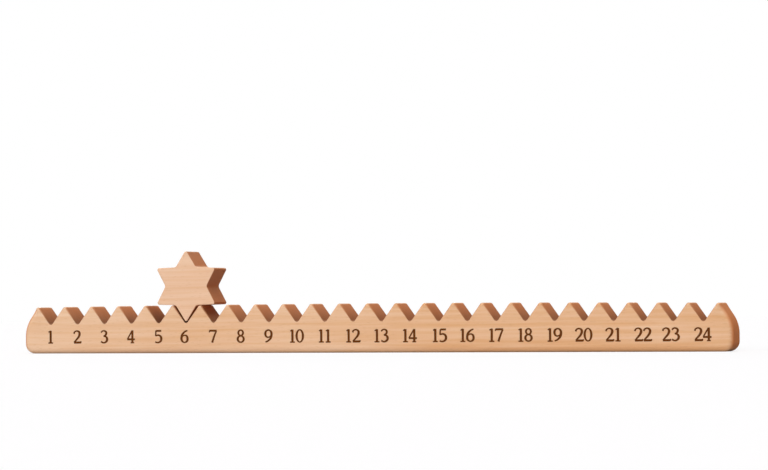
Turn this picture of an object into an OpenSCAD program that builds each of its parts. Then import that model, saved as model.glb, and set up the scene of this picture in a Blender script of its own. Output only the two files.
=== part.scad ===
// Advent calendar: a notched wooden rail with one notch for each day, and a
// six-pointed star whose lower point stands in the notch of the day.
// All sizes are in millimetres. The rail rests on z = 0, its length runs
// along x, and its numbered front face looks towards -y.

/* [Board] */
// Thickness of the board that the rail and the star are cut from
board_thickness = 22; // [12:0.5:40]

/* [Rail] */
// Number of days, with one notch each
day_count = 24; // [4:1:31]
// Distance from one notch to the next
notch_pitch = 18; // [14:0.5:26]
// Distance from each end of the rail to the nearest notch
end_margin = 18; // [15:0.5:30]
// Height of the rail from its foot to the top of the middle tooth
rail_height = 29.9; // [24:0.1:50]
// How far the slightly arched row of teeth falls from the middle to the ends
row_fall = 1.1; // [0:0.1:3]
// Radius of the lower corners, seen from the front
foot_radius = 6; // [4:0.5:9]
// Radius that leads each sloping shoulder into the upright end
shoulder_radius = 30; // [6:0.5:40]
// Round-over along the ends and the foot
rail_edge = 3.5; // [0.5:0.25:4]

/* [Notches] */
// Angle between the two flanks of a notch
notch_angle = 68; // [62:1:80]
// Radius at the bottom of each notch
notch_radius = 1.6; // [0.8:0.1:2.5]
// Radius at the top of each tooth
tooth_radius = 1.7; // [0.8:0.1:2.5]

/* [Star] */
// Day whose notch holds the star
star_day = 6; // [1:1:31]
// Angle of each of the six points, kept narrower than the notches
point_angle = 64; // [60:1:70]
// Radius of each of the six points
point_radius = 1.2; // [0.6:0.1:1.5]
// Radius in each of the six inner corners
inner_radius = 3; // [1:0.25:3.5]

/* [Fit] */
// Gap under the lower point of the star, which hangs from its two shoulders
point_clearance = 1; // [0.3:0.1:1.5]

/* [Hidden] */

overshoot = 1;
round_facets = 64;
rim_facets = 48;
edge_facets = 16;

rail_length = (day_count - 1) * notch_pitch + 2 * end_margin;
flank_angle = notch_angle / 2;
flank_rise = notch_pitch / 2 / tan(flank_angle);
// The flanks meet each round at this angle
round_crossing = 12;
tooth_apex = rail_height + round_offset(tooth_radius, flank_angle) - tooth_radius;
notch_apex = tooth_apex - flank_rise;
notch_bottom = notch_apex + round_offset(notch_radius, flank_angle) - notch_radius;

row_half_length = day_count * notch_pitch / 2;
end_apex = tooth_apex - row_fall;
shoulder_run = end_margin - notch_pitch / 2;
shoulder_drop = shoulder_radius - (shoulder_radius - shoulder_run) * cos(flank_angle);
shoulder_height = end_apex - shoulder_drop / sin(flank_angle);

point_half_angle = min(point_angle, notch_angle - 4) / 2;
inner_half_angle = point_half_angle + 30;
point_setback = round_offset(point_radius, point_half_angle) - point_radius;
// The undersides of the two lower arms climb outwards and rest on the teeth
arm_slope = tan(point_half_angle - 30);
rest_height = rail_height + tooth_radius * (sqrt(1 + arm_slope * arm_slope) - 1);
point_length = rest_height - notch_bottom - point_clearance + point_setback;
star_radius = (point_length - notch_pitch / 2 * arm_slope) / (0.5 - cos(30) * arm_slope);
inner_reach = star_radius * sin(point_half_angle) / sin(inner_half_angle);
arm_height = star_radius / 2 + (star_radius * cos(30) - notch_pitch / 2) * arm_slope;
// The star stands on the higher of the two teeth beside its notch
star_height = rest_height + arm_height - min(row_drop(star_day - 0.5), row_drop(star_day + 0.5));

// Distance from the apex between two flanks to the centre of their round,
// with half of the angle between the flanks
function round_offset(radius, half_angle) = radius * cos(round_crossing) / sin(half_angle);

function day_x(day) = -rail_length / 2 + end_margin + (day - 1) * notch_pitch;

// How much lower than in the middle the row is at a notch, or at a tooth half
// a day further on
function row_drop(day) = row_fall * pow(day_x(day) / row_half_length, 2);

// Rim of an upright disc with rounded edges. The sweep starts at +x and turns
// up towards +z.
module rounded_rim(radius, start = 0, sweep = 360) {
    rotate([90, 0, 0])
        rotate([0, 0, start])
            rotate_extrude(angle = sweep, $fn = rim_facets)
                intersection() {
                    for (side = [-1, 1])
                        translate([radius - rail_edge, side * (board_thickness / 2 - rail_edge)])
                            circle(r = rail_edge, $fn = edge_facets);
                    translate([0, -board_thickness / 2])
                        square([radius, board_thickness]);
                }
}

// Right-hand end of the board: round lower corner, upright end, blended
// shoulder, and the shoulder's slope carried on above the teeth
module rail_end() {
    top_radius = 2 * rail_edge;
    top_height = tooth_apex + rail_edge;
    top_inset = shoulder_run + (top_height - end_apex) * tan(flank_angle) + top_radius / cos(flank_angle);
    translate([rail_length / 2 - foot_radius, 0, foot_radius])
        rounded_rim(foot_radius, -90, 90);
    translate([rail_length / 2 - shoulder_radius, 0, shoulder_height])
        rounded_rim(shoulder_radius, 0, flank_angle);
    translate([rail_length / 2 - top_inset, 0, top_height])
        rounded_rim(top_radius);
}

module rail_blank() {
    hull() {
        rail_end();
        mirror([1, 0, 0])
            rail_end();
    }
}

// Waste between the apex of two flanks, at the origin, and their round above it
module apex_waste(radius, half_angle) {
    waste_height = round_offset(radius, half_angle) * pow(cos(half_angle), 2);
    difference() {
        translate([-radius, -overshoot])
            square([2 * radius, waste_height + overshoot]);
        translate([0, round_offset(radius, half_angle)])
            circle(r = radius, $fn = round_facets);
    }
}

// V with a round bottom, with its apex at the origin
module notch_outline() {
    top_height = flank_rise + row_fall + 5 * rail_edge;
    top_width = top_height * tan(flank_angle);
    difference() {
        polygon([[0, 0], [top_width, top_height], [-top_width, top_height]]);
        apex_waste(notch_radius, flank_angle);
    }
}

// Cut through the board at a place along the rail
module front_cut(x, z) {
    translate([x, 0, z])
        rotate([90, 0, 0])
            linear_extrude(height = board_thickness + 2 * overshoot, center = true)
                children();
}

module day_rail() {
    color([0.86, 0.69, 0.50])
        difference() {
            rail_blank();
            for (day = [1:day_count])
                front_cut(day_x(day), notch_apex - row_drop(day))
                    notch_outline();
            for (tooth = [0:day_count])
                front_cut(day_x(tooth + 0.5), tooth_apex - row_drop(tooth + 0.5))
                    mirror([0, 1])
                        apex_waste(tooth_radius, flank_angle);
        }
}

// Six points and six inner corners, all rounded
module star_outline() {
    difference() {
        union() {
            polygon([
                for (step = [0:11])
                    (step % 2 == 0 ? inner_reach : star_radius) * [cos(30 * step), sin(30 * step)]
            ]);
            for (corner = [0:5])
                rotate(60 * corner)
                    translate([inner_reach, 0])
                        rotate(-90)
                            apex_waste(inner_radius, inner_half_angle);
        }
        for (point = [0:5])
            rotate(60 * point + 30)
                translate([star_radius, 0])
                    rotate(90)
                        apex_waste(point_radius, point_half_angle);
    }
}

module star_marker() {
    color([0.83, 0.63, 0.43])
        translate([day_x(star_day), 0, star_height])
            rotate([90, 0, 0])
                linear_extrude(height = board_thickness, center = true)
                    star_outline();
}

day_rail();
star_marker();
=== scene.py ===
"""Looks of a wooden advent calendar: the notched day rail, its burnt numbers and its star."""

import math

import bmesh
import bpy
from mathutils import Matrix, Vector
from mathutils.geometry import delaunay_2d_cdt


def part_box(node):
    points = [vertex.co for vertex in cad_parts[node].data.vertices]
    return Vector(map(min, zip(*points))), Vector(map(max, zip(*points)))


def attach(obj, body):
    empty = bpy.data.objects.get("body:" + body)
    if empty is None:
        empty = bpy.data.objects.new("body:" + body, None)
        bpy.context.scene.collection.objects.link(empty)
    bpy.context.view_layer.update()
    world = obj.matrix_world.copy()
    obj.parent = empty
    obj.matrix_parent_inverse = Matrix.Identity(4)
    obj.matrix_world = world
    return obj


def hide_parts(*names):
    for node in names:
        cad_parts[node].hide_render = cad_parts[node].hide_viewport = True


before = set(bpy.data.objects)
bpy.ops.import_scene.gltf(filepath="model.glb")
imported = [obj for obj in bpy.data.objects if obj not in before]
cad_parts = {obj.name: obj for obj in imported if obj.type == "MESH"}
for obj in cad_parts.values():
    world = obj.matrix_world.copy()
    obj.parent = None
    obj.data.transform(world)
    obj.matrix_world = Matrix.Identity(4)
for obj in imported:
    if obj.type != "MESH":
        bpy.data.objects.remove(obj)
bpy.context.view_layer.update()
RAIL_LOW, RAIL_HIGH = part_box("day_rail")
STAR_LOW, STAR_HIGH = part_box("star_marker")

bl_info = {
    "name": "Wooden advent calendar",
    "version": (1, 0, 0),
    "blender": (4, 5, 0),
    "location": "View3D > Sidebar > Advent calendar",
    "description": "Builds a notched day rail with burnt numbers, its star marker and a plain studio",
    "category": "Add Mesh",
}

MM = 0.001
QUARTER = math.pi / 2
# Vertices nearer to each other than this are made one.
WELD = 0.01 * MM
# Edges that turn by more than this stay sharp.
SHARP = math.radians(40)
# Highest weight of large faces in the shading
LARGE_FACES = 100
# Whole numbers that differ by less than this are the same.
SAME_NUMBER = 0.1
# Steps of the curves in the rail's outline, and points on the lines between them
TIP_STEPS, BOTTOM_STEPS, SHOULDER_STEPS, CORNER_STEPS = 8, 12, 12, 20
FLANK_POINTS, SLOPE_POINTS, UPRIGHT_POINTS = 6, 8, 3
# Steps across a rounded edge of the rail and of the star, and round the star's corners
EDGE_STEPS, STAR_EDGE_STEPS, STAR_STEPS = 5, 3, 10
# Edges of the star that turn by more than this are eased.
STAR_EDGE_TURN = math.radians(60)
# Half of the floor's width, and the width of the camera's sensor in millimetres
FLOOR_HALF, SENSOR_WIDTH = 4.0, 36.0
WHITE, UP = (1.0, 1.0, 1.0, 1.0), (0.0, 0.0, 1.0)


def length(name, description, millimetres):
    """Length property, with its default in millimetres."""
    return bpy.props.FloatProperty(
        name=name, description=description, default=millimetres * MM, subtype="DISTANCE", unit="LENGTH")


def angle(name, description, degrees):
    """Angle property, with its default in degrees."""
    return bpy.props.FloatProperty(
        name=name, description=description, default=math.radians(degrees), subtype="ANGLE", unit="ROTATION")


def direction(name, description, side):
    """Property for the side that a light comes from."""
    return bpy.props.FloatVectorProperty(
        name=name, description=description, default=side, subtype="DIRECTION")


def strength(name, description, value):
    """Property for the strength of a light."""
    return bpy.props.FloatProperty(name=name, description=description, default=value, min=0)


def linear(hex_colour):
    """Linear RGBA of an sRGB hex colour."""
    values = [int(hex_colour[i:i + 2], 16) / 255 for i in (1, 3, 5)]
    return [v / 12.92 if v <= 0.04045 else ((v + 0.055) / 1.055) ** 2.4 for v in values] + [1.0]


def colour(name, description, hex_colour):
    """Colour property, with its default as an sRGB hex value."""
    return bpy.props.FloatVectorProperty(
        name=name, description=description, size=4, min=0, max=1,
        default=linear(hex_colour), subtype="COLOR")


class RailSizes(bpy.types.PropertyGroup):
    """Sizes of the day rail."""

    day_count: bpy.props.IntProperty(
        name="Days", description="Number of notches, one for each day", default=24, min=4, max=31)
    notch_pitch: length("Notch pitch", "Distance from one notch to the next", 18)
    row_fall: length(
        "Fall of the row", "How far the slightly arched row of teeth falls from the middle to the ends", 1.1)
    notch_angle: angle("Notch angle", "Angle between the two flanks of a notch", 68)
    notch_radius: length("Notch radius", "Radius at the bottom of each notch", 1.52)
    tooth_radius: length("Tooth radius", "Radius at the top of each tooth", 1.62)
    shoulder_radius: length("Shoulder radius", "Radius from each sloping shoulder to the upright end", 20)
    foot_radius: length("Foot radius", "Radius of the lower corners, seen from the front", 6)
    end_edge: length("End round-over", "Round-over along the ends and the foot", 3.5)
    end_blend: length(
        "End blend", "Length over which the last tooth's easing turns into that round-over", 5)
    tooth_edge: length(
        "Tooth easing", "How far sanding lowers the front and back edge of each tooth's top", 1.1)
    tooth_reach: length(
        "Tooth easing reach", "How far that sanding reaches in from the front and back faces", 2.2)
    notch_edge: length("Notch easing", "Sanded edge at the bottom of each notch", 0.35)


class NumberSizes(bpy.types.PropertyGroup):
    """Sizes of the burnt numbers."""

    height: length("Height", "Height of a figure", 8)
    baseline: length("Baseline", "Height of the feet of the figures above the table", 6.3)
    wide_step: length("Wide step", "Width taken up by a figure other than 1", 5.4)
    narrow_step: length("Narrow step", "Width taken up by the figure 1", 4.4)
    shift: length("Shift", "How far the numbers stand to the right of the middles of the notches", -0.3)
    weight: length("Weight", "Wood that the heat takes away on each side of the pen stroke", 0.18)
    depth: length("Depth", "Depth that the figures are burnt into the wood", 0.6)


class StarSizes(bpy.types.PropertyGroup):
    """Sizes of the star marker."""

    points: bpy.props.IntProperty(
        name="Points", description="Number of points", default=6, min=5, max=8)
    point_angle: angle("Point angle", "Angle of each point", 64)
    point_radius: length("Point radius", "Radius of each point", 1.14)
    inner_radius: length("Inner radius", "Radius in each inner corner", 2.42)
    edge: length("Edge easing", "Sanded edge along the outline", 0.5)


class Finish(bpy.types.PropertyGroup):
    """Colours of the wood, the burnt numbers and the floor."""

    rail_early: colour("Rail, early wood", "Pale bands of the rail's growth rings", "#EAC5A5")
    rail_late: colour("Rail, late wood", "Darker lines of the rail's growth rings", "#DBA678")
    rail_end: colour("Rail, end grain", "Cut ends of the rail's fibres", "#D27F4B")
    # Painted shade: colour that darkens the notch flanks and bottoms towards the bottom of each notch
    rail_notch_shade: colour("Rail, notch bottoms", "Flanks toasted by the cutter, deep in the notches", "#663410")
    star_early: colour("Star, early wood", "Pale bands of the star's growth rings", "#EBC6A9")
    star_late: colour("Star, late wood", "Darker lines of the star's growth rings", "#DEAB82")
    star_end: colour("Star, end grain", "Cut ends of the star's fibres", "#C2784C")
    fleck: colour("Ray flecks", "Short dark rays of beech", "#B98359")
    scorch: colour("Scorch", "Brown rim of a burnt number", "#8A5A32")
    char: colour("Char", "Burnt floor of a number", "#6A3A18")
    floor: colour("Floor", "Plain pale floor", "#B5B4B5")


class StageSizes(bpy.types.PropertyGroup):
    """Camera, light and floor."""

    camera_place: bpy.props.FloatVectorProperty(
        name="Camera place", description="Where the camera stands",
        default=(0.599, -1.9243, 0.030), subtype="TRANSLATION", unit="LENGTH")
    camera_heading: angle("Camera heading", "Turn of the camera to the left", 17.08)
    camera_pitch: angle("Camera pitch", "Tilt of the camera upwards", 1.178)
    camera_roll: angle("Camera roll", "Roll of the camera about its line of sight", -0.425)
    lens: bpy.props.FloatProperty(
        name="Lens", description="Focal length in millimetres on a 36 mm wide sensor",
        default=155.0, subtype="DISTANCE_CAMERA", unit="CAMERA")
    key_place: direction(
        "Key light side", "Side that the far soft light comes from", (-0.2, -1.0, 0.15))
    key_width: angle("Key light width", "Angle that the far soft light fills", 30)
    key_power: strength("Key light strength", "Strength of the far soft light", 2.55)
    top_width: angle("Top light width", "Angle that the light from above fills", 60)
    top_power: strength("Top light strength", "Strength of the light from above", 1.9)
    side_place: direction(
        "Side light side", "Side that the weak light on the right comes from", (0.8, 0.3, 1.2))
    side_width: angle("Side light width", "Angle that the weak light on the right fills", 20)
    side_power: strength("Side light strength", "Strength of the weak light on the right", 0.55)
    back_place: direction(
        "Back light side", "Side that the low light behind the rail comes from", (-0.5, 1.0, 0.0))
    back_width: angle("Back light width", "Angle that the low light behind the rail fills", 30)
    back_power: strength("Back light strength", "Strength of the low light behind the rail", 2.2)
    room_light: strength("Room light", "Strength of the even light from all round", 0.1)
    floor_glow: strength(
        "Floor glow", "How much lighter the floor is to the camera than its light makes it", 0.53)


def add_node(tree, kind, inputs=None, **settings):
    """Adds a node, sets its properties, and sets or links its inputs."""
    node = tree.nodes.new(kind)
    for name, value in settings.items():
        setattr(node, name, value)
    for key, value in (inputs or {}).items():
        if isinstance(value, bpy.types.NodeSocket):
            tree.links.new(value, node.inputs[key])
        else:
            node.inputs[key].default_value = value
    return node


def new_tree(name, sockets):
    """Geometry node tree with named inputs. Returns it with its group input."""
    tree = bpy.data.node_groups.new(name, "GeometryNodeTree")
    tree.interface.new_socket("Geometry", in_out="INPUT", socket_type="NodeSocketGeometry")
    tree.interface.new_socket("Geometry", in_out="OUTPUT", socket_type="NodeSocketGeometry")
    for label, kind in sockets:
        tree.interface.new_socket(label, in_out="INPUT", socket_type="NodeSocket" + kind)
    return tree, tree.nodes.new("NodeGroupInput").outputs


def end_tree(tree, geometry, material):
    """Ends a tree in plain geometry that carries its material."""
    real = add_node(tree, "GeometryNodeRealizeInstances", {"Geometry": geometry})
    welded = add_node(tree, "GeometryNodeMergeByDistance", {"Geometry": real.outputs[0], "Distance": WELD})
    finished = add_node(
        tree, "GeometryNodeSetMaterial", {"Geometry": welded.outputs[0], "Material": material})
    add_node(tree, "NodeGroupOutput", {"Geometry": finished.outputs[0]})


def grow(name, tree, values):
    """Object whose mesh the tree makes from these values."""
    piece = bpy.data.objects.new(name, bpy.data.meshes.new(name))
    bpy.context.scene.collection.objects.link(piece)
    modifier = piece.modifiers.new(tree.name, "NODES")
    modifier.node_group = tree
    for item in tree.interface.items_tree:
        if item.in_out == "INPUT" and item.name in values:
            modifier[item.identifier] = values[item.name]
    return piece


def settle(piece):
    """Turns a piece with modifiers into a plain mesh."""
    graph = bpy.context.evaluated_depsgraph_get()
    mesh = bpy.data.meshes.new_from_object(
        piece.evaluated_get(graph), preserve_all_data_layers=True, depsgraph=graph)
    if not mesh.polygons:
        raise RuntimeError(f"{piece.name} came out empty")
    piece.modifiers.clear()
    piece.data = mesh
    mesh.name = piece.name
    return piece


def smooth(piece):
    """Shades soft edges smooth and keeps flat faces flat and cut corners sharp."""
    piece.data.shade_smooth()
    piece.data.set_sharp_from_angle(angle=SHARP)
    modifier = piece.modifiers.new("even shading", "WEIGHTED_NORMAL")
    modifier.keep_sharp = True
    modifier.weight = LARGE_FACES
    return settle(piece)


def helper(name, form):
    """Scratch object from a bmesh."""
    mesh = bpy.data.meshes.new(name)
    form.to_mesh(mesh)
    form.free()
    made = bpy.data.objects.new(name, mesh)
    bpy.context.scene.collection.objects.link(made)
    return made


def discard(*objects):
    """Removes scratch objects with their meshes."""
    for made in objects:
        mesh = made.data
        bpy.data.objects.remove(made)
        bpy.data.meshes.remove(mesh)


def arc(centre, radius, start, end, steps):
    """Points (x, z, direction out of the wood) on an arc. A hollow one has a negative radius."""
    turns = [start + (end - start) * i / steps for i in range(steps + 1)]
    return [(centre[0] + radius * math.cos(t), centre[1] + radius * math.sin(t), t) for t in turns]


def between(first, last, count):
    """Points on the straight line between two outline points."""
    return [(first[0] + (last[0] - first[0]) * i / (count + 1),
             first[1] + (last[1] - first[1]) * i / (count + 1), first[2]) for i in range(1, count + 1)]


def ease(low, high, share):
    """Smooth change from low to high as share goes from 0 to 1."""
    share = min(1.0, max(0.0, share))
    return low + (high - low) * share * share * (3 - 2 * share)


def edge_ring(form, point, edge, half, side):
    """Vertices of the rounded edge at one outline point, from the outline to the face. The edge is
    given as the height that it loses and its reach across the board."""
    x, z, turn = point
    loss, reach = edge
    ring = []
    for i in range(EDGE_STEPS + 1):
        lean = QUARTER * i / EDGE_STEPS
        inset = loss * (1 - math.cos(lean))
        ring.append(form.verts.new((
            x - math.cos(turn) * inset,
            side * (half - reach * (1 - math.sin(lean))),
            z - math.sin(turn) * inset)))
    return ring


def board_strip(form, outline, edges, half):
    """Walls and rounded edges along part of a board's outline. Returns the rims of its faces."""
    fronts = [edge_ring(form, p, e, half, -1) for p, e in zip(outline, edges)]
    backs = [edge_ring(form, p, e, half, 1) for p, e in zip(outline, edges)]
    for i in range(len(outline) - 1):
        form.faces.new((fronts[i][0], fronts[i + 1][0], backs[i + 1][0], backs[i][0]))
        for j in range(EDGE_STEPS):
            form.faces.new((fronts[i][j], fronts[i][j + 1], fronts[i + 1][j + 1], fronts[i + 1][j]))
            form.faces.new((backs[i][j], backs[i + 1][j], backs[i + 1][j + 1], backs[i][j + 1]))
    return [ring[-1] for ring in fronts], [ring[-1] for ring in backs]


class RailShape:
    """Measures of the rail that follow from its sizes: half of its thickness, half of a step (side),
    and the length from the top of the last tooth to the end (run), with heights and angles."""

    def __init__(self, sizes):
        self.sizes = sizes
        self.half = (RAIL_HIGH.y - RAIL_LOW.y) / 2
        self.top = RAIL_HIGH.z
        self.flank = sizes.notch_angle / 2
        self.side = sizes.notch_pitch / 2
        self.run = RAIL_HIGH.x - self.side * sizes.day_count
        self.tooth_centre = self.top - sizes.tooth_radius
        self.tooth_apex = self.tooth_centre + sizes.tooth_radius / math.sin(self.flank)
        notch_apex = self.tooth_apex - self.side / math.tan(self.flank)
        self.notch_centre = notch_apex + sizes.notch_radius / math.sin(self.flank)
        self.notch_bottom = self.notch_centre - sizes.notch_radius

    def notch(self):
        """One step of the rail, from the top of a tooth over a notch to the top of the next."""
        sizes, flank = self.sizes, self.flank
        rise = arc((-self.side, self.tooth_centre), sizes.tooth_radius, QUARTER, flank, TIP_STEPS)
        dip = arc((0, self.notch_centre), -sizes.notch_radius, flank, math.pi - flank, BOTTOM_STEPS)
        fall = arc((self.side, self.tooth_centre), sizes.tooth_radius, math.pi - flank, QUARTER, TIP_STEPS)
        outline = rise + between(rise[-1], dip[0], FLANK_POINTS) + dip
        outline += between(dip[-1], fall[0], FLANK_POINTS) + fall
        depth = self.top - self.notch_bottom
        climbs = [(z - self.notch_bottom) / depth for _, z, _ in outline]
        edges = [tuple(ease(sizes.notch_edge, full, climb) for full in (sizes.tooth_edge, sizes.tooth_reach))
                 for climb in climbs]
        foot = [(self.side, 0.0, -QUARTER), (-self.side, 0.0, -QUARTER)]
        form = bmesh.new()
        front, back = board_strip(form, outline, edges, self.half)
        foot_edges = [(sizes.end_edge, sizes.end_edge)] * len(foot)
        foot_front, foot_back = board_strip(form, foot, foot_edges, self.half)
        form.faces.new((front + foot_front)[::-1])
        form.faces.new(back + foot_back)
        return helper("notch_step", form)

    def end(self):
        """The right-hand end, from the top of the last tooth round to the foot."""
        sizes, flank = self.sizes, self.flank
        drop = sizes.shoulder_radius - (sizes.shoulder_radius - self.run) * math.cos(flank)
        shoulder_centre = self.tooth_apex - sizes.row_fall - drop / math.sin(flank)
        rise = arc((0, self.tooth_centre - sizes.row_fall), sizes.tooth_radius, QUARTER, flank, TIP_STEPS)
        shoulder = arc(
            (self.run - sizes.shoulder_radius, shoulder_centre),
            sizes.shoulder_radius, flank, 0, SHOULDER_STEPS)
        foot = arc(
            (self.run - sizes.foot_radius, sizes.foot_radius), sizes.foot_radius, 0, -QUARTER, CORNER_STEPS)
        outline = rise + between(rise[-1], shoulder[0], SLOPE_POINTS) + shoulder
        outline += between(shoulder[-1], foot[0], UPRIGHT_POINTS) + foot + [(0.0, 0.0, -QUARTER)]
        walked, edges = 0.0, []
        for i, point in enumerate(outline):
            if i:
                walked += math.dist(point[:2], outline[i - 1][:2])
            share = walked / sizes.end_blend
            edges.append(tuple(
                ease(start, sizes.end_edge, share) for start in (sizes.tooth_edge, sizes.tooth_reach)))
        form = bmesh.new()
        front, back = board_strip(form, outline, edges, self.half)
        form.faces.new(front[::-1])
        form.faces.new(back)
        return helper("rail_end", form)


def notched_rail_tree():
    """Repeats the notch step along the rail, lets the row of teeth, which is all that lies above its
    base, fall towards both sides, and closes the rail with an end on each side."""
    tree, given = new_tree("notched_rail", [
        ("Notch Step", "Object"), ("Rail End", "Object"), ("Days", "Int"), ("Pitch", "Float"),
        ("Row Fall", "Float"), ("Row Base", "Float"), ("Wood", "Material")])
    row_length = add_node(
        tree, "ShaderNodeMath", {0: given["Days"], 1: given["Pitch"]}, operation="MULTIPLY").outputs[0]
    reach = add_node(tree, "ShaderNodeMath", {0: row_length, 1: 0.5}, operation="MULTIPLY").outputs[0]
    back = add_node(tree, "ShaderNodeMath", {0: row_length, 1: -1.0}, operation="MULTIPLY").outputs[0]
    left = add_node(tree, "ShaderNodeMath", {0: reach, 1: -1.0}, operation="MULTIPLY").outputs[0]
    first = add_node(
        tree, "ShaderNodeMath", {0: given["Pitch"], 1: 0.5, 2: left}, operation="MULTIPLY_ADD").outputs[0]
    days = add_node(tree, "GeometryNodeMeshLine", {
        "Count": given["Days"],
        "Start Location": add_node(tree, "ShaderNodeCombineXYZ", {"X": first}).outputs[0],
        "Offset": add_node(tree, "ShaderNodeCombineXYZ", {"X": given["Pitch"]}).outputs[0]})
    ends = add_node(tree, "GeometryNodeMeshLine", {
        "Count": 2,
        "Start Location": add_node(tree, "ShaderNodeCombineXYZ", {"X": reach}).outputs[0],
        "Offset": add_node(tree, "ShaderNodeCombineXYZ", {"X": back}).outputs[0]})
    half_turn = add_node(tree, "ShaderNodeMath", {
        0: add_node(tree, "GeometryNodeInputIndex").outputs[0], 1: math.pi}, operation="MULTIPLY").outputs[0]
    steps = add_node(tree, "GeometryNodeInstanceOnPoints", {
        "Points": days.outputs["Mesh"],
        "Instance": add_node(
            tree, "GeometryNodeObjectInfo", {"Object": given["Notch Step"]}).outputs["Geometry"]})
    solid = add_node(tree, "GeometryNodeRealizeInstances", {"Geometry": steps.outputs[0]}).outputs[0]
    spot = add_node(tree, "ShaderNodeSeparateXYZ", {
        "Vector": add_node(tree, "GeometryNodeInputPosition").outputs[0]}).outputs
    share = add_node(tree, "ShaderNodeMath", {0: spot["X"], 1: reach}, operation="DIVIDE").outputs[0]
    share = add_node(tree, "ShaderNodeMath", {0: share, 1: share}, operation="MULTIPLY").outputs[0]
    fall = add_node(tree, "ShaderNodeMath", {0: share, 1: given["Row Fall"]}, operation="MULTIPLY").outputs[0]
    fall = add_node(tree, "ShaderNodeMath", {0: fall, 1: -1.0}, operation="MULTIPLY").outputs[0]
    row = add_node(
        tree, "ShaderNodeMath", {0: spot["Z"], 1: given["Row Base"]}, operation="GREATER_THAN").outputs[0]
    arched = add_node(tree, "GeometryNodeSetPosition", {
        "Geometry": solid, "Selection": row,
        "Offset": add_node(tree, "ShaderNodeCombineXYZ", {"Z": fall}).outputs[0]})
    closed = add_node(tree, "GeometryNodeInstanceOnPoints", {
        "Points": ends.outputs["Mesh"],
        "Instance": add_node(
            tree, "GeometryNodeObjectInfo", {"Object": given["Rail End"]}).outputs["Geometry"],
        "Rotation": add_node(tree, "ShaderNodeCombineXYZ", {"Z": half_turn}).outputs[0]})
    joined = add_node(tree, "GeometryNodeJoinGeometry", {"Geometry": arched.outputs[0]})
    tree.links.new(closed.outputs[0], joined.inputs["Geometry"])
    end_tree(tree, joined.outputs[0], given["Wood"])
    return tree


# Each figure is drawn with pen strokes on a body 8 high, centred on x = 0.
# A stroke is a row of (x, y, half of its width).
FIGURE_BODY = 8.0
# Steps round an oval, and from one point of a pen stroke to the next
OVAL_STEPS, PEN_STEPS = 24, 4
# Points of a stroke, and corners of its outline, that are nearer than this count as one.
SAME_POINT, SAME_CORNER = 1e-6, 1e-5
# Corners of a finished figure that are nearer than this are made one.
FIGURE_WELD = 0.02 * MM
# How far the blocks that cut the figures stand out of the wood
PROUD = 0.5 * MM
SIX = [[(1.95, 7.65, 0.25), (0.2, 6.9, 0.36), (-1.45, 5.2, 0.52), (-2.0, 3.1, 0.58), (-1.7, 1.35, 0.5),
        (-0.2, 0.3, 0.28), (1.5, 1.0, 0.46), (2.0, 2.5, 0.56), (1.55, 4.1, 0.46), (0.2, 4.75, 0.28),
        (-1.3, 4.1, 0.26), (-1.8, 3.2, 0.3)]]


def oval(height, wide, tall, thin, thick):
    """Closed stroke that is thin at its top and bottom and thick at its sides."""
    turns = [2 * math.pi * i / OVAL_STEPS for i in range(OVAL_STEPS + 1)]
    return [(wide * math.cos(t), height + tall * math.sin(t), thin + (thick - thin) * math.cos(t) ** 2)
            for t in turns]


FIGURES = [
    [oval(4.0, 2.05, 3.75, 0.25, 0.55)],
    [[(0.2, 7.9, 0.55), (0.2, 0.2, 0.55)],
     [(-1.25, 6.95, 0.2), (0.2, 7.7, 0.35)],
     [(-1.4, 0.22, 0.22), (0.2, 0.3, 0.3), (1.8, 0.22, 0.22)]],
    [[(-2.05, 5.95, 0.42), (-1.75, 7.0, 0.32), (-0.2, 7.7, 0.3), (1.35, 7.0, 0.5), (1.65, 5.6, 0.6),
      (0.95, 3.9, 0.5), (-0.6, 2.1, 0.38), (-2.0, 0.6, 0.33)],
     [(-2.2, 0.5, 0.5), (1.6, 0.5, 0.48), (2.35, 0.62, 0.4), (2.55, 1.35, 0.15)]],
    [[(-1.95, 6.6, 0.34), (-1.2, 7.45, 0.3), (0.0, 7.72, 0.28), (1.25, 7.1, 0.46), (1.5, 6.0, 0.52),
      (0.85, 4.9, 0.4), (-0.35, 4.35, 0.26)],
     [(-0.35, 4.35, 0.26), (1.1, 4.1, 0.4), (2.0, 3.0, 0.56), (1.9, 1.6, 0.56), (0.8, 0.55, 0.4),
      (-0.6, 0.3, 0.3), (-2.0, 1.05, 0.4)]],
    [[(0.75, 7.85, 0.28), (-2.45, 2.45, 0.28)],
     [(-2.6, 2.35, 0.42), (2.5, 2.35, 0.42)],
     [(0.85, 7.9, 0.55), (0.85, 0.2, 0.55)],
     [(-0.35, 0.2, 0.2), (2.05, 0.2, 0.2)]],
    [[(-1.45, 7.5, 0.42), (2.0, 7.5, 0.42)],
     [(-1.5, 7.7, 0.28), (-1.75, 4.3, 0.28)],
     [(-1.75, 4.35, 0.25), (-0.4, 4.85, 0.33), (1.1, 4.5, 0.45), (1.95, 3.2, 0.58), (1.75, 1.5, 0.55),
      (0.5, 0.45, 0.38), (-1.1, 0.3, 0.3), (-2.0, 0.75, 0.38)]],
    SIX,
    [[(-2.4, 7.45, 0.45), (2.4, 7.45, 0.45)],
     [(-2.3, 7.6, 0.2), (-2.45, 6.4, 0.2)],
     [(2.15, 7.3, 0.35), (0.7, 4.0, 0.42), (-0.6, 0.1, 0.52)]],
    [oval(6.05, 1.55, 1.65, 0.3, 0.48), oval(2.25, 1.95, 1.95, 0.3, 0.55)],
    [[(-x, FIGURE_BODY - y, w) for x, y, w in stroke] for stroke in SIX],
]


def is_closed(stroke):
    """Whether a stroke ends where it starts."""
    return math.dist(stroke[0][:2], stroke[-1][:2]) < SAME_POINT


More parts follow.
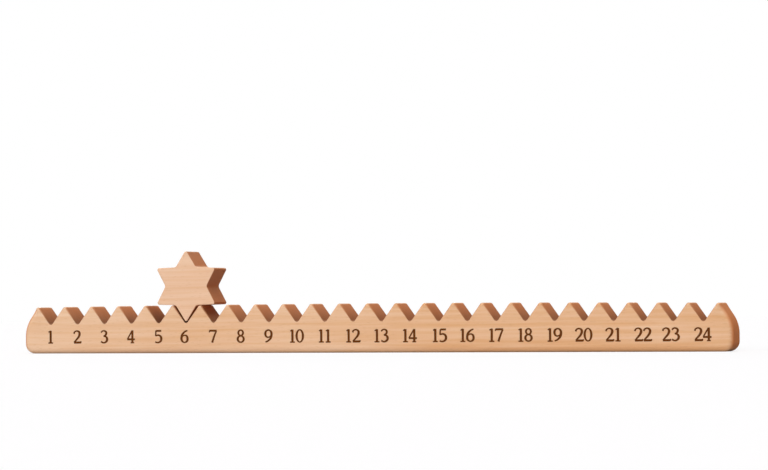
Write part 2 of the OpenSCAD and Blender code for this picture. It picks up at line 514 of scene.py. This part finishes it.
def pen_path(stroke):
    """Smooth path through the points of a stroke, with its width changing along it. Straight and
    closed strokes are taken as they are."""
    knots = [Vector(p) for p in stroke]
    if len(stroke) == 2 or is_closed(stroke):
        return knots
    knots = [2 * knots[0] - knots[1]] + knots + [2 * knots[-1] - knots[-2]]
    path = []
    for a, b, c, d in zip(knots, knots[1:], knots[2:], knots[3:]):
        for i in range(PEN_STEPS):
            t = i / PEN_STEPS
            path.append((2 * b + (c - a) * t + (2 * a - 5 * b + 4 * c - d) * t ** 2
                         + (3 * b - a - 3 * c + d) * t ** 3) / 2)
    return path + [knots[-2]]


def figure_block(name, strokes, scale, weight, depth):
    """Block in the shape of one figure, standing proud of the face and reaching into the wood."""
    corners, quads = [], []
    for stroke in strokes:
        path = pen_path(stroke)
        closed = is_closed(path)
        for i, point in enumerate(path):
            before = path[i - 1] if i else path[-2] if closed else point
            after = path[i + 1] if i + 1 < len(path) else path[1] if closed else point
            way = (after - before).to_2d().normalized()
            side = Vector((-way.y, way.x)) * (point.z + weight / scale)
            corners += [point.to_2d() + side, point.to_2d() - side]
            if i:
                n = len(corners)
                quads.append([n - 4, n - 3, n - 1, n - 2])
    # Output type 1 keeps the triangles inside the strokes.
    places, _, triangles, _, _, owners = delaunay_2d_cdt(corners, [], quads, 1, SAME_CORNER)
    form = bmesh.new()
    verts = [form.verts.new((p.x * scale, -PROUD, p.y * scale)) for p in places]
    for triangle, owner in zip(triangles, owners):
        if owner:
            form.faces.new([verts[i] for i in triangle])
    bmesh.ops.delete(form, geom=[v for v in form.verts if not v.link_faces], context="VERTS")
    bmesh.ops.remove_doubles(form, verts=form.verts, dist=FIGURE_WELD)
    pushed = bmesh.ops.extrude_face_region(form, geom=form.faces[:])
    sunk = [v for v in pushed["geom"] if isinstance(v, bmesh.types.BMVert)]
    bmesh.ops.translate(form, vec=(0, PROUD + depth, 0), verts=sunk)
    bmesh.ops.recalc_face_normals(form, faces=form.faces)
    return helper(name, form)


# Days whose numbers were set to the left or right of the middle of their notch, and how far.
SET_ASIDE = {6: -0.7 * MM, 15: 0.8 * MM, 23: -1.2 * MM}


def day_numbers_tree():
    """Sets the figures of each day under its notch: units for all, tens from day 10 on."""
    tree, given = new_tree("day_numbers", [
        ("Figures", "Collection"), ("Days", "Int"), ("Pitch", "Float"), ("Baseline", "Float"),
        ("Face", "Float"), ("Wide Step", "Float"), ("Narrow Step", "Float"), ("Shift", "Float"),
        ("Char", "Material")])
    day = add_node(tree, "ShaderNodeMath", {
        0: add_node(tree, "GeometryNodeInputIndex").outputs[0], 1: 1.0}, operation="ADD").outputs[0]
    units = add_node(tree, "ShaderNodeMath", {0: day, 1: 10.0}, operation="MODULO").outputs[0]
    tens = add_node(tree, "ShaderNodeMath", {
        0: add_node(tree, "ShaderNodeMath", {0: day, 1: 10.0}, operation="DIVIDE").outputs[0]},
        operation="FLOOR").outputs[0]
    paired = add_node(tree, "ShaderNodeMath", {0: tens, 1: 0.5}, operation="GREATER_THAN").outputs[0]
    middle = add_node(tree, "ShaderNodeMath", {0: given["Days"], 1: 1.0}, operation="ADD").outputs[0]
    middle = add_node(tree, "ShaderNodeMath", {0: middle, 1: 0.5}, operation="MULTIPLY").outputs[0]
    offset = add_node(tree, "ShaderNodeMath", {0: day, 1: middle}, operation="SUBTRACT").outputs[0]
    place = add_node(tree, "ShaderNodeMath", {
        0: offset, 1: given["Pitch"], 2: given["Shift"]}, operation="MULTIPLY_ADD").outputs[0]
    for number, aside in SET_ASIDE.items():
        chosen = add_node(
            tree, "ShaderNodeMath", {0: day, 1: number, 2: SAME_NUMBER}, operation="COMPARE").outputs[0]
        place = add_node(
            tree, "ShaderNodeMath", {0: chosen, 1: aside, 2: place}, operation="MULTIPLY_ADD").outputs[0]
    figures = add_node(
        tree, "GeometryNodeCollectionInfo",
        {"Collection": given["Figures"], "Separate Children": True, "Reset Children": True}).outputs[0]
    rows = []
    for own, other, side in ((units, tens, 0.5), (tens, units, -0.5)):
        slim = add_node(
            tree, "ShaderNodeMath", {0: other, 1: 1.0, 2: SAME_NUMBER}, operation="COMPARE").outputs[0]
        step = add_node(tree, "ShaderNodeMix", {
            "Factor": slim, "A": given["Wide Step"], "B": given["Narrow Step"]}).outputs["Result"]
        step = add_node(tree, "ShaderNodeMath", {0: step, 1: paired}, operation="MULTIPLY").outputs[0]
        shift = add_node(
            tree, "ShaderNodeMath", {0: step, 1: side, 2: place}, operation="MULTIPLY_ADD").outputs[0]
        spot = add_node(
            tree, "ShaderNodeCombineXYZ", {"X": shift, "Y": given["Face"], "Z": given["Baseline"]}).outputs[0]
        line = add_node(tree, "GeometryNodeMeshLine", {"Count": given["Days"]}).outputs["Mesh"]
        spots = add_node(tree, "GeometryNodeSetPosition", {"Geometry": line, "Position": spot}).outputs[0]
        row = add_node(tree, "GeometryNodeInstanceOnPoints", {
            "Points": spots, "Instance": figures, "Pick Instance": True, "Instance Index": own})
        if side < 0:
            tree.links.new(paired, row.inputs["Selection"])
        rows.append(row.outputs[0])
    joined = add_node(tree, "GeometryNodeJoinGeometry", {"Geometry": rows[0]})
    tree.links.new(rows[1], joined.inputs["Geometry"])
    end_tree(tree, joined.outputs[0], given["Char"])
    return tree


def six_point_star_tree():
    """Star plate: a star outline with rounded corners, filled and thickened."""
    tree, given = new_tree("pointed_star", [
        ("Points", "Int"), ("Reach", "Float"), ("Inner Reach", "Float"), ("Point Radius", "Float"),
        ("Inner Radius", "Float"), ("Thickness", "Float"), ("Centre", "Vector"), ("Wood", "Material")])
    outline = add_node(tree, "GeometryNodeCurveStar", {
        "Points": given["Points"], "Inner Radius": given["Inner Reach"], "Outer Radius": given["Reach"]})
    radius = add_node(tree, "ShaderNodeMix", {
        "Factor": outline.outputs["Outer Points"], "A": given["Inner Radius"], "B": given["Point Radius"]})
    rounded = add_node(tree, "GeometryNodeFilletCurve", {
        "Curve": outline.outputs["Curve"], "Count": STAR_STEPS,
        "Radius": radius.outputs["Result"]}, mode="POLY")
    plate = add_node(tree, "GeometryNodeFillCurve", {"Curve": rounded.outputs[0]}, mode="NGONS").outputs[0]
    raised = add_node(tree, "GeometryNodeExtrudeMesh", {
        "Mesh": plate, "Offset": UP, "Offset Scale": given["Thickness"], "Individual": False})
    under = add_node(tree, "GeometryNodeFlipFaces", {"Mesh": plate}).outputs[0]
    solid = add_node(tree, "GeometryNodeJoinGeometry", {"Geometry": raised.outputs[0]})
    tree.links.new(under, solid.inputs["Geometry"])
    sunk = add_node(tree, "ShaderNodeMath", {0: given["Thickness"], 1: -0.5}, operation="MULTIPLY").outputs[0]
    centred = add_node(tree, "GeometryNodeTransform", {
        "Geometry": solid.outputs[0], "Rotation": (0.0, 0.0, QUARTER),
        "Translation": add_node(tree, "ShaderNodeCombineXYZ", {"Z": sunk}).outputs[0]}).outputs[0]
    upright = add_node(tree, "GeometryNodeTransform", {
        "Geometry": centred, "Translation": given["Centre"], "Rotation": (QUARTER, 0.0, 0.0)}).outputs[0]
    end_tree(tree, upright, given["Wood"])
    return tree


def empty_tree(owner):
    """Emptied node tree of a material or a world."""
    owner.use_nodes = True
    owner.node_tree.nodes.clear()
    return owner.node_tree


def new_material(name):
    """Material with a principled surface. Returns it with its tree and its shader."""
    material = bpy.data.materials.new(name)
    tree = empty_tree(material)
    shader = add_node(tree, "ShaderNodeBsdfPrincipled")
    add_node(tree, "ShaderNodeOutputMaterial", {"Surface": shader.outputs[0]})
    return material, tree, shader


# Broad bands, streaks and fibres of the beech: millimetres along the grain and across it, detail, and
# how much each adds to the colour of the late wood. Fibres are far finer and are drawn as bundles, so
# that they show.
PATTERNS = ((125.0, 12.0, 2.0, 1.2), (80.0, 2.2, 1.0, 0.9), (22.0, 0.7, 3.0, 0.4))
# How much the growth rings add, and the level that all of these start from
RING_PART, START = 0.18, -0.95
# Millimetres along the grain and across it, of the wander of the rings and of the rows of ray flecks
WANDER, FLECK_STEP = (160.0, 30.0), (5.0, 1.1)
# Millimetres from one growth ring to the next, and how far the rings wander
RING_GAP, RING_BEND = 3.0, 7.0
# Millimetres from the tree's pith to the origin, for each piece, and the slant of the fibres
RAIL_FROM_PITH, STAR_FROM_PITH = (40.0, 62.0, 38.0), (310.0, -48.0, 55.0)
FIBRE_SLANT = (0.0, 0.012, 0.02)
# Places in a growth ring, and how much late wood there is
RING_LEVELS = {0.0: 0.1, 0.55: 0.3, 0.88: 1.0, 1.0: 0.1}
# Half of the stretch in which the wood turns redder, and by how much
HEART_STRETCH, HEART_PART = 60 * MM, 0.38
# Strongest colour of a ray fleck, and its core and rim as parts of the distance to the next
FLECK_PART, FLECK_CORE, FLECK_RIM = 0.15, 0.12, 0.3
# Faces show end grain once they look that far along the rail; deep in the notches, faces that look that far
# upwards take the painted shade too.
LEAST_TURN = 0.3
# Strongest painted shade, at the bottom of a notch
NOTCH_SHADE_PART = 0.9
# Least and most roughness of the sanded wood, that of the char, and the faint gloss of both
SANDED_LEAST, SANDED_MOST, CHAR_ROUGH, GLOSS = 0.7, 0.9, 0.9, 0.1
# Burnt crumbs, drawn wider than they are so that they show, and how much they change the colour
CRUMB, CRUMB_PART = 0.4 * MM, 0.3


def sanded_beech(name, early, late, end, fleck, from_pith, shaded=None):
    """Beech, planed, sanded and oiled: even pale wood with soft growth lines along the rail, short
    dark ray flecks, and cut ends that drink the oil and turn darker and redder. Where painted shade
    darkens the notches towards their bottoms, its colour, the heights of their bottom and top, and
    the distance from the middle to the end of their row are given."""
    material, tree, shader = new_material(name)
    coords = add_node(tree, "ShaderNodeTexCoord")
    # From here on the pattern's coordinates are in millimetres, measured from the pith of the tree.
    grain = add_node(tree, "ShaderNodeMapping", {
        "Vector": coords.outputs["Object"], "Location": from_pith, "Rotation": FIBRE_SLANT,
        "Scale": (1 / MM, 1 / MM, 1 / MM)}).outputs[0]

    def spread(along, across):
        """Grain coordinates in which one unit is this many millimetres along and across."""
        return add_node(tree, "ShaderNodeVectorMath", {
            0: grain, 1: (1 / along, 1 / across, 1 / across)}, operation="MULTIPLY").outputs[0]

    wander = add_node(tree, "ShaderNodeTexNoise", {
        "Vector": spread(*WANDER), "Scale": 1.0, "Detail": 2.0}).outputs["Color"]
    bent = add_node(tree, "ShaderNodeVectorMath", {
        0: wander, 1: (0.0, RING_BEND, RING_BEND), 2: grain}, operation="MULTIPLY_ADD").outputs[0]
    radial = add_node(
        tree, "ShaderNodeVectorMath", {0: bent, 1: (0.0, 1.0, 1.0)}, operation="MULTIPLY").outputs[0]
    radius = add_node(tree, "ShaderNodeVectorMath", {0: radial}, operation="LENGTH").outputs["Value"]
    # Each growth ring is pale after the winter and darker towards the next.
    ring = add_node(tree, "ShaderNodeMath", {
        0: add_node(tree, "ShaderNodeMath", {0: radius, 1: RING_GAP}, operation="DIVIDE").outputs[0]},
        operation="FRACT").outputs[0]
    late_wood = add_node(tree, "ShaderNodeValToRGB", {"Fac": ring})
    stops = late_wood.color_ramp.elements
    for place in list(RING_LEVELS)[1:-1]:
        stops.new(place)
    for stop, level in zip(stops, RING_LEVELS.values()):
        stop.color = (level, level, level, 1.0)
    share = add_node(tree, "ShaderNodeMath", {
        0: late_wood.outputs["Color"], 1: RING_PART, 2: START}, operation="MULTIPLY_ADD").outputs[0]
    for along, across, detail, part in PATTERNS:
        pattern = add_node(tree, "ShaderNodeTexNoise", {
            "Vector": spread(along, across), "Scale": 1.0, "Detail": detail}).outputs["Fac"]
        share = add_node(
            tree, "ShaderNodeMath", {0: pattern, 1: part, 2: share}, operation="MULTIPLY_ADD").outputs[0]
    # The right half of the rail was nearer to the heart of the tree and is a little redder.
    spot = add_node(tree, "ShaderNodeSeparateXYZ", {"Vector": coords.outputs["Object"]}).outputs
    heart = add_node(tree, "ShaderNodeMapRange", {
        "Value": spot["X"], "From Min": -HEART_STRETCH, "From Max": HEART_STRETCH, "To Max": HEART_PART},
        interpolation_type="SMOOTHSTEP").outputs[0]
    share = add_node(tree, "ShaderNodeMath", {0: share, 1: heart}, operation="ADD", use_clamp=True).outputs[0]
    wood = add_node(tree, "ShaderNodeMix", {
        "Factor": share, "A": early, "B": late}, data_type="RGBA").outputs["Result"]
    # Ray flecks are about 3 mm long and half a millimetre wide.
    cells = add_node(
        tree, "ShaderNodeTexVoronoi", {"Vector": spread(*FLECK_STEP), "Scale": 1.0}).outputs["Distance"]
    flecks = add_node(tree, "ShaderNodeMapRange", {
        "Value": cells, "From Min": FLECK_CORE, "From Max": FLECK_RIM, "To Min": FLECK_PART, "To Max": 0.0},
        interpolation_type="SMOOTHSTEP").outputs[0]
    flecked = add_node(tree, "ShaderNodeMix", {
        "Factor": flecks, "A": wood, "B": fleck}, data_type="RGBA").outputs["Result"]
    normal = add_node(tree, "ShaderNodeSeparateXYZ", {"Vector": coords.outputs["Normal"]}).outputs
    facing = add_node(tree, "ShaderNodeMath", {0: normal["X"]}, operation="ABSOLUTE").outputs[0]
    cut = add_node(tree, "ShaderNodeMapRange", {
        "Value": facing, "From Min": LEAST_TURN}, interpolation_type="SMOOTHSTEP").outputs[0]
    # Painted shade: towards each notch bottom the end grain colour turns to the shade colour, and upward
    # faces there take it too, in place of the shade that falls deep in the notches.
    if shaded:
        tint, bottom, top, limit = shaded
        depth = add_node(tree, "ShaderNodeMapRange", {
            "Value": spot["Z"], "From Min": top, "From Max": bottom, "To Max": NOTCH_SHADE_PART}).outputs[0]
        away = add_node(tree, "ShaderNodeMath", {0: spot["X"]}, operation="ABSOLUTE").outputs[0]
        inside = add_node(tree, "ShaderNodeMath", {0: away, 1: limit}, operation="LESS_THAN").outputs[0]
        depth = add_node(tree, "ShaderNodeMath", {0: depth, 1: inside}, operation="MULTIPLY").outputs[0]
        end = add_node(tree, "ShaderNodeMix", {
            "Factor": depth, "A": end, "B": tint}, data_type="RGBA").outputs["Result"]
        level = add_node(tree, "ShaderNodeMapRange", {
            "Value": normal["Z"], "From Min": LEAST_TURN}, interpolation_type="SMOOTHSTEP").outputs[0]
        level = add_node(tree, "ShaderNodeMath", {0: level, 1: depth}, operation="MULTIPLY").outputs[0]
        cut = add_node(tree, "ShaderNodeMath", {0: cut, 1: level}, operation="MAXIMUM").outputs[0]
    finished = add_node(tree, "ShaderNodeMix", {
        "Factor": cut, "A": flecked, "B": end}, data_type="RGBA").outputs["Result"]
    tree.links.new(finished, shader.inputs["Base Color"])
    # The fibres, which are the last of the patterns, also roughen the surface.
    rough = add_node(tree, "ShaderNodeMapRange", {
        "Value": pattern, "To Min": SANDED_LEAST, "To Max": SANDED_MOST}).outputs[0]
    tree.links.new(rough, shader.inputs["Roughness"])
    shader.inputs["Specular IOR Level"].default_value = GLOSS
    relief = add_node(tree, "ShaderNodeBump", {
        "Height": pattern, "Strength": 0.25, "Distance": 0.05 * MM}).outputs[0]
    tree.links.new(relief, shader.inputs["Normal"])
    return material


def burnt_beech(name, scorch, char, face, depth):
    """Beech burnt away by a fine hot beam: matt charcoal brown, toasted at the rim and darker below."""
    material, tree, shader = new_material(name)
    coords = add_node(tree, "ShaderNodeTexCoord").outputs["Object"]
    level = add_node(tree, "ShaderNodeSeparateXYZ", {"Vector": coords}).outputs["Y"]
    sunk = add_node(tree, "ShaderNodeMapRange", {
        "Value": level, "From Min": face, "From Max": face + depth}).outputs[0]
    crumbs = add_node(tree, "ShaderNodeTexNoise", {
        "Vector": coords, "Scale": 1 / CRUMB, "Detail": 3.0}).outputs["Fac"]
    tone = add_node(tree, "ShaderNodeMath", {
        0: crumbs, 1: CRUMB_PART, 2: -CRUMB_PART / 2}, operation="MULTIPLY_ADD").outputs[0]
    tone = add_node(tree, "ShaderNodeMath", {0: sunk, 1: tone}, operation="ADD", use_clamp=True).outputs[0]
    mixed = add_node(tree, "ShaderNodeMix", {
        "Factor": tone, "A": scorch, "B": char}, data_type="RGBA").outputs["Result"]
    tree.links.new(mixed, shader.inputs["Base Color"])
    shader.inputs["Roughness"].default_value = CHAR_ROUGH
    shader.inputs["Specular IOR Level"].default_value = GLOSS
    relief = add_node(tree, "ShaderNodeBump", {
        "Height": crumbs, "Strength": 0.5, "Distance": 0.1 * MM}).outputs[0]
    tree.links.new(relief, shader.inputs["Normal"])
    return material


class ADVENT_OT_day_rail(bpy.types.Operator):
    """Build the notched rail with the numbers of the days burnt into its front"""

    bl_idname = "advent.day_rail"
    bl_label = "Day rail"

    def execute(self, context):
        scene = context.scene
        sizes, numbers, finish = scene.advent_rail, scene.advent_numbers, scene.advent_finish
        shape = RailShape(sizes)
        # Colour of the painted shade in the notches, the heights of their bottom and top, and how far their
        # row reaches
        shaded = (finish.rail_notch_shade, shape.notch_bottom, shape.top, RAIL_HIGH.x - shape.run)
        wood = sanded_beech(
            "beech_sanded_oiled", finish.rail_early, finish.rail_late, finish.rail_end, finish.fleck,
            RAIL_FROM_PITH, shaded)
        char = burnt_beech("beech_burnt", finish.scorch, finish.char, RAIL_LOW.y, numbers.depth)
        step, end = shape.notch(), shape.end()
        rail = settle(grow("notched_rail", notched_rail_tree(), {
            "Notch Step": step, "Rail End": end, "Days": sizes.day_count, "Pitch": sizes.notch_pitch,
            "Row Fall": sizes.row_fall, "Row Base": shape.top / 2, "Wood": wood}))
        self.burn(rail, sizes, numbers, char)
        discard(step, end)
        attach(rail, "rail")
        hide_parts("day_rail")
        return {"FINISHED"}

    def burn(self, rail, sizes, numbers, char):
        """Burns the numbers of the days into the front of the rail."""
        scale = numbers.height / FIGURE_BODY
        figures = [figure_block(f"figure_{i}", strokes, scale, numbers.weight, numbers.depth)
                   for i, strokes in enumerate(FIGURES)]
        box = bpy.data.collections.new("figures")
        for figure in figures:
            box.objects.link(figure)
        blocks = settle(grow("day_numbers", day_numbers_tree(), {
            "Figures": box, "Days": sizes.day_count, "Pitch": sizes.notch_pitch, "Baseline": numbers.baseline,
            "Face": RAIL_LOW.y, "Wide Step": numbers.wide_step, "Narrow Step": numbers.narrow_step,
            "Shift": numbers.shift, "Char": char}))
        cut = rail.modifiers.new("burnt numbers", "BOOLEAN")
        cut.operation, cut.solver, cut.object, cut.material_mode = "DIFFERENCE", "EXACT", blocks, "TRANSFER"
        smooth(settle(rail))
        bpy.data.collections.remove(box)
        discard(blocks, *figures)


class ADVENT_OT_star_marker(bpy.types.Operator):
    """Build the star that stands in the notch of the day"""

    bl_idname = "advent.star_marker"
    bl_label = "Star marker"

    def execute(self, context):
        sizes, finish = context.scene.advent_star, context.scene.advent_finish
        wood = sanded_beech(
            "beech_sanded_oiled_star", finish.star_early, finish.star_late, finish.star_end, finish.fleck,
            STAR_FROM_PITH)
        middle = (STAR_LOW + STAR_HIGH) / 2
        lean, share = sizes.point_angle / 2, math.pi / sizes.points
        reach = (STAR_HIGH.z - STAR_LOW.z) / 2 + sizes.point_radius * (1 / math.sin(lean) - 1)
        inner_reach = reach * math.sin(lean) / math.sin(lean + share)
        star = settle(grow("six_point_star", six_point_star_tree(), {
            "Points": sizes.points, "Reach": reach, "Inner Reach": inner_reach,
            "Point Radius": sizes.point_radius, "Inner Radius": sizes.inner_radius,
            "Thickness": STAR_HIGH.y - STAR_LOW.y, "Centre": middle, "Wood": wood}))
        eased = star.modifiers.new("sanded edge", "BEVEL")
        eased.width, eased.segments = sizes.edge, STAR_EDGE_STEPS
        eased.limit_method, eased.angle_limit = "ANGLE", STAR_EDGE_TURN
        smooth(settle(star))
        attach(star, "star")
        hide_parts("star_marker")
        return {"FINISHED"}


class ADVENT_OT_stage(bpy.types.Operator):
    """Set up the plain pale floor, the soft light and the camera"""

    bl_idname = "advent.stage"
    bl_label = "Stage"

    def execute(self, context):
        scene, sizes = context.scene, context.scene.advent_stage
        self.floor(scene.advent_finish.floor, sizes.floor_glow)
        self.room(scene, sizes)
        self.light("key_light", sizes.key_place, sizes.key_width, sizes.key_power)
        self.light("top_light", UP, sizes.top_width, sizes.top_power)
        self.light("side_light", sizes.side_place, sizes.side_width, sizes.side_power)
        self.light("back_light", sizes.back_place, sizes.back_width, sizes.back_power)
        self.camera(scene, sizes)
        scene.view_settings.view_transform = "Standard"
        return {"FINISHED"}

    def light(self, name, side, width, power):
        """Far soft light that comes from one side and fills this angle."""
        data = bpy.data.lights.new(name, "SUN")
        data.angle, data.energy = width, power
        lamp = bpy.data.objects.new(name, data)
        lamp.rotation_euler = (-Vector(side)).to_track_quat("-Z", "Y").to_euler()
        bpy.context.scene.collection.objects.link(lamp)

    def floor(self, pale, extra):
        """Large sheet under the rail, white to the camera where no shadow falls."""
        form = bmesh.new()
        bmesh.ops.create_grid(form, x_segments=1, y_segments=1, size=FLOOR_HALF)
        floor = helper("floor", form)
        material = bpy.data.materials.new("floor_paper")
        tree = empty_tree(material)
        matt = add_node(tree, "ShaderNodeBsdfDiffuse", {"Color": pale})
        ray = add_node(tree, "ShaderNodeLightPath").outputs["Is Camera Ray"]
        glow = add_node(tree, "ShaderNodeEmission", {"Color": WHITE, "Strength": extra})
        bright = add_node(tree, "ShaderNodeAddShader", {0: matt.outputs[0], 1: glow.outputs[0]})
        seen = add_node(tree, "ShaderNodeMixShader", {"Fac": ray, 1: matt.outputs[0], 2: bright.outputs[0]})
        add_node(tree, "ShaderNodeOutputMaterial", {"Surface": seen.outputs[0]})
        floor.data.materials.append(material)

    def room(self, scene, sizes):
        """Even white room: full white where it is seen, weaker where it lights the object."""
        world = bpy.data.worlds.new("white_room")
        tree = empty_tree(world)
        ray = add_node(tree, "ShaderNodeLightPath").outputs
        seen = add_node(tree, "ShaderNodeMath", {
            0: ray["Is Camera Ray"], 1: ray["Is Glossy Ray"]}, operation="MAXIMUM").outputs[0]
        seen = add_node(tree, "ShaderNodeMath", {
            0: seen, 1: ray["Is Transmission Ray"]}, operation="MAXIMUM").outputs[0]
        level = add_node(tree, "ShaderNodeMix", {
            "Factor": seen, "A": sizes.room_light, "B": 1.0}).outputs["Result"]
        sky = add_node(tree, "ShaderNodeBackground", {"Color": WHITE, "Strength": level})
        add_node(tree, "ShaderNodeOutputWorld", {"Surface": sky.outputs[0]})
        scene.world = world

    def camera(self, scene, sizes):
        """Camera at the viewing angle of the photograph."""
        heading = Matrix.Rotation(sizes.camera_heading, 4, "Z")
        pitch = Matrix.Rotation(QUARTER + sizes.camera_pitch, 4, "X")
        roll = Matrix.Rotation(sizes.camera_roll, 4, "Z")
        data = bpy.data.cameras.new("camera")
        data.sensor_width, data.lens = SENSOR_WIDTH, sizes.lens
        camera = bpy.data.objects.new("camera", data)
        camera.matrix_world = Matrix.Translation(sizes.camera_place) @ heading @ pitch @ roll
        scene.collection.objects.link(camera)
        scene.camera = camera


OPERATORS = (ADVENT_OT_day_rail, ADVENT_OT_star_marker, ADVENT_OT_stage)
GROUPS = {
    "advent_rail": RailSizes, "advent_numbers": NumberSizes, "advent_star": StarSizes,
    "advent_finish": Finish, "advent_stage": StageSizes}


class ADVENT_PT_panel(bpy.types.Panel):
    """Lists what can be built and the sizes it is built from"""

    bl_idname = "ADVENT_PT_panel"
    bl_label = "Advent calendar"
    bl_space_type = "VIEW_3D"
    bl_region_type = "UI"
    bl_category = "Advent calendar"

    def draw(self, context):
        for operator in OPERATORS:
            self.layout.operator(operator.bl_idname)
        for name, group in GROUPS.items():
            box = self.layout.box()
            box.label(text=group.__doc__)
            for field in group.__annotations__:
                box.prop(getattr(context.scene, name), field)


CLASSES = (*GROUPS.values(), *OPERATORS, ADVENT_PT_panel)


def register():
    for cls in CLASSES:
        bpy.utils.register_class(cls)
    for name, group in GROUPS.items():
        setattr(bpy.types.Scene, name, bpy.props.PointerProperty(type=group))


def unregister():
    for name in GROUPS:
        delattr(bpy.types.Scene, name)
    for cls in reversed(CLASSES):
        bpy.utils.unregister_class(cls)


def main():
    register()
    bpy.ops.advent.day_rail()
    bpy.ops.advent.star_marker()
    bpy.ops.advent.stage()


if __name__ == "__main__":
    main()
